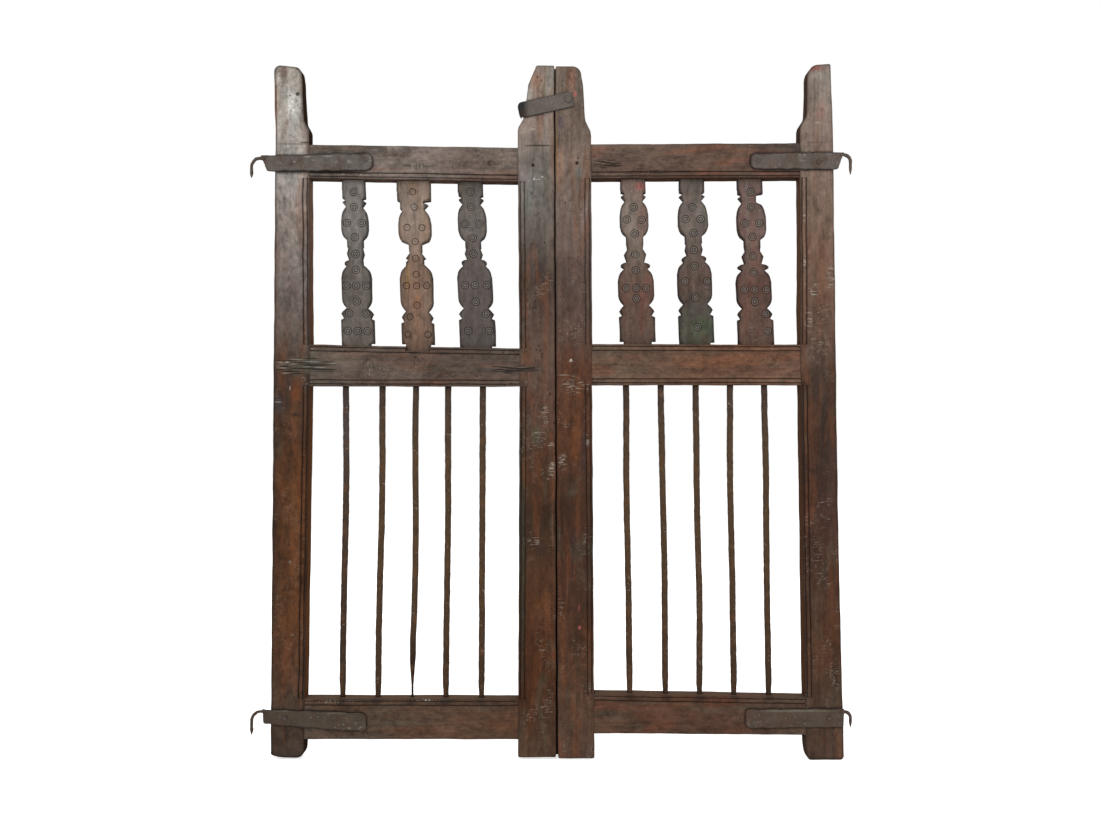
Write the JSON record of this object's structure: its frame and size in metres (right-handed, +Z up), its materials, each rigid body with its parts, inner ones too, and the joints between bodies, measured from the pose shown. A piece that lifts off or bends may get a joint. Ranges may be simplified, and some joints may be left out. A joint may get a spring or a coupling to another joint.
{
  "type": "wood and iron gate",
  "caption": "Weathered double-leaf wooden gate with fretted, ring-carved balusters above round iron bars, hook hinge straps on the outer stiles and a turning latch strap.",
  "frame": {"origin": "middle of the closed pair in X and Y, level with the lowest foot", "axes": "+Z up, +X to the right of a viewer before the hinge side, +Y away from that viewer, so the straps and the latch face -Y"},
  "size_m": [1.203, 0.0536, 1.393],
  "materials": {
    "stile_wood": "weathered, matt",
    "rail_wood": "weathered, matt",
    "baluster_wood": "weathered, matt, traces of paint",
    "peg_wood": "dark, matt",
    "bar_iron": "rusted, matt",
    "strap_iron": "hammered, rusted, matt"
  },
  "bodies": {
    "left_leaf": {"left_hinge_stile": "stile_wood", "left_meeting_stile": "stile_wood", "left_top_rail": "rail_wood", "left_middle_rail": "rail_wood", "left_bottom_rail": "rail_wood", "left_baluster_1": "baluster_wood", "left_baluster_2": "baluster_wood", "left_baluster_3": "baluster_wood", "left_bar_1": "bar_iron", "left_bar_2": "bar_iron", "left_bar_3": "bar_iron", "left_bar_4": "bar_iron", "left_bar_5": "bar_iron", "left_upper_strap": "strap_iron", "left_lower_strap": "strap_iron", "left_nails": "strap_iron", "left_peg": "peg_wood"},
    "right_leaf": {"right_meeting_stile": "stile_wood", "right_hinge_stile": "stile_wood", "right_top_rail": "rail_wood", "right_middle_rail": "rail_wood", "right_bottom_rail": "rail_wood", "right_baluster_1": "baluster_wood", "right_baluster_2": "baluster_wood", "right_baluster_3": "baluster_wood", "right_bar_1": "bar_iron", "right_bar_2": "bar_iron", "right_bar_3": "bar_iron", "right_bar_4": "bar_iron", "right_bar_5": "bar_iron", "right_upper_strap": "strap_iron", "right_lower_strap": "strap_iron", "right_nails": "strap_iron", "right_peg": "peg_wood", "latch_rivet": "strap_iron"},
    "latch": {"latch_strap": "strap_iron"}
  },
  "joints": [
    {"name": "right_leaf_swing", "type": "hinge", "parent": "left_leaf", "child": "right_leaf", "pos_m": [0.598, -0.02325, 0.6], "axis": [0, 0, 1], "range_deg": [0, 110]},
    {"name": "latch_turn", "type": "hinge", "parent": "right_leaf", "child": "latch", "pos_m": [0.034, -0.0225, 1.32], "axis": [0, 1, 0], "range_deg": [0, 200]}
  ]
}
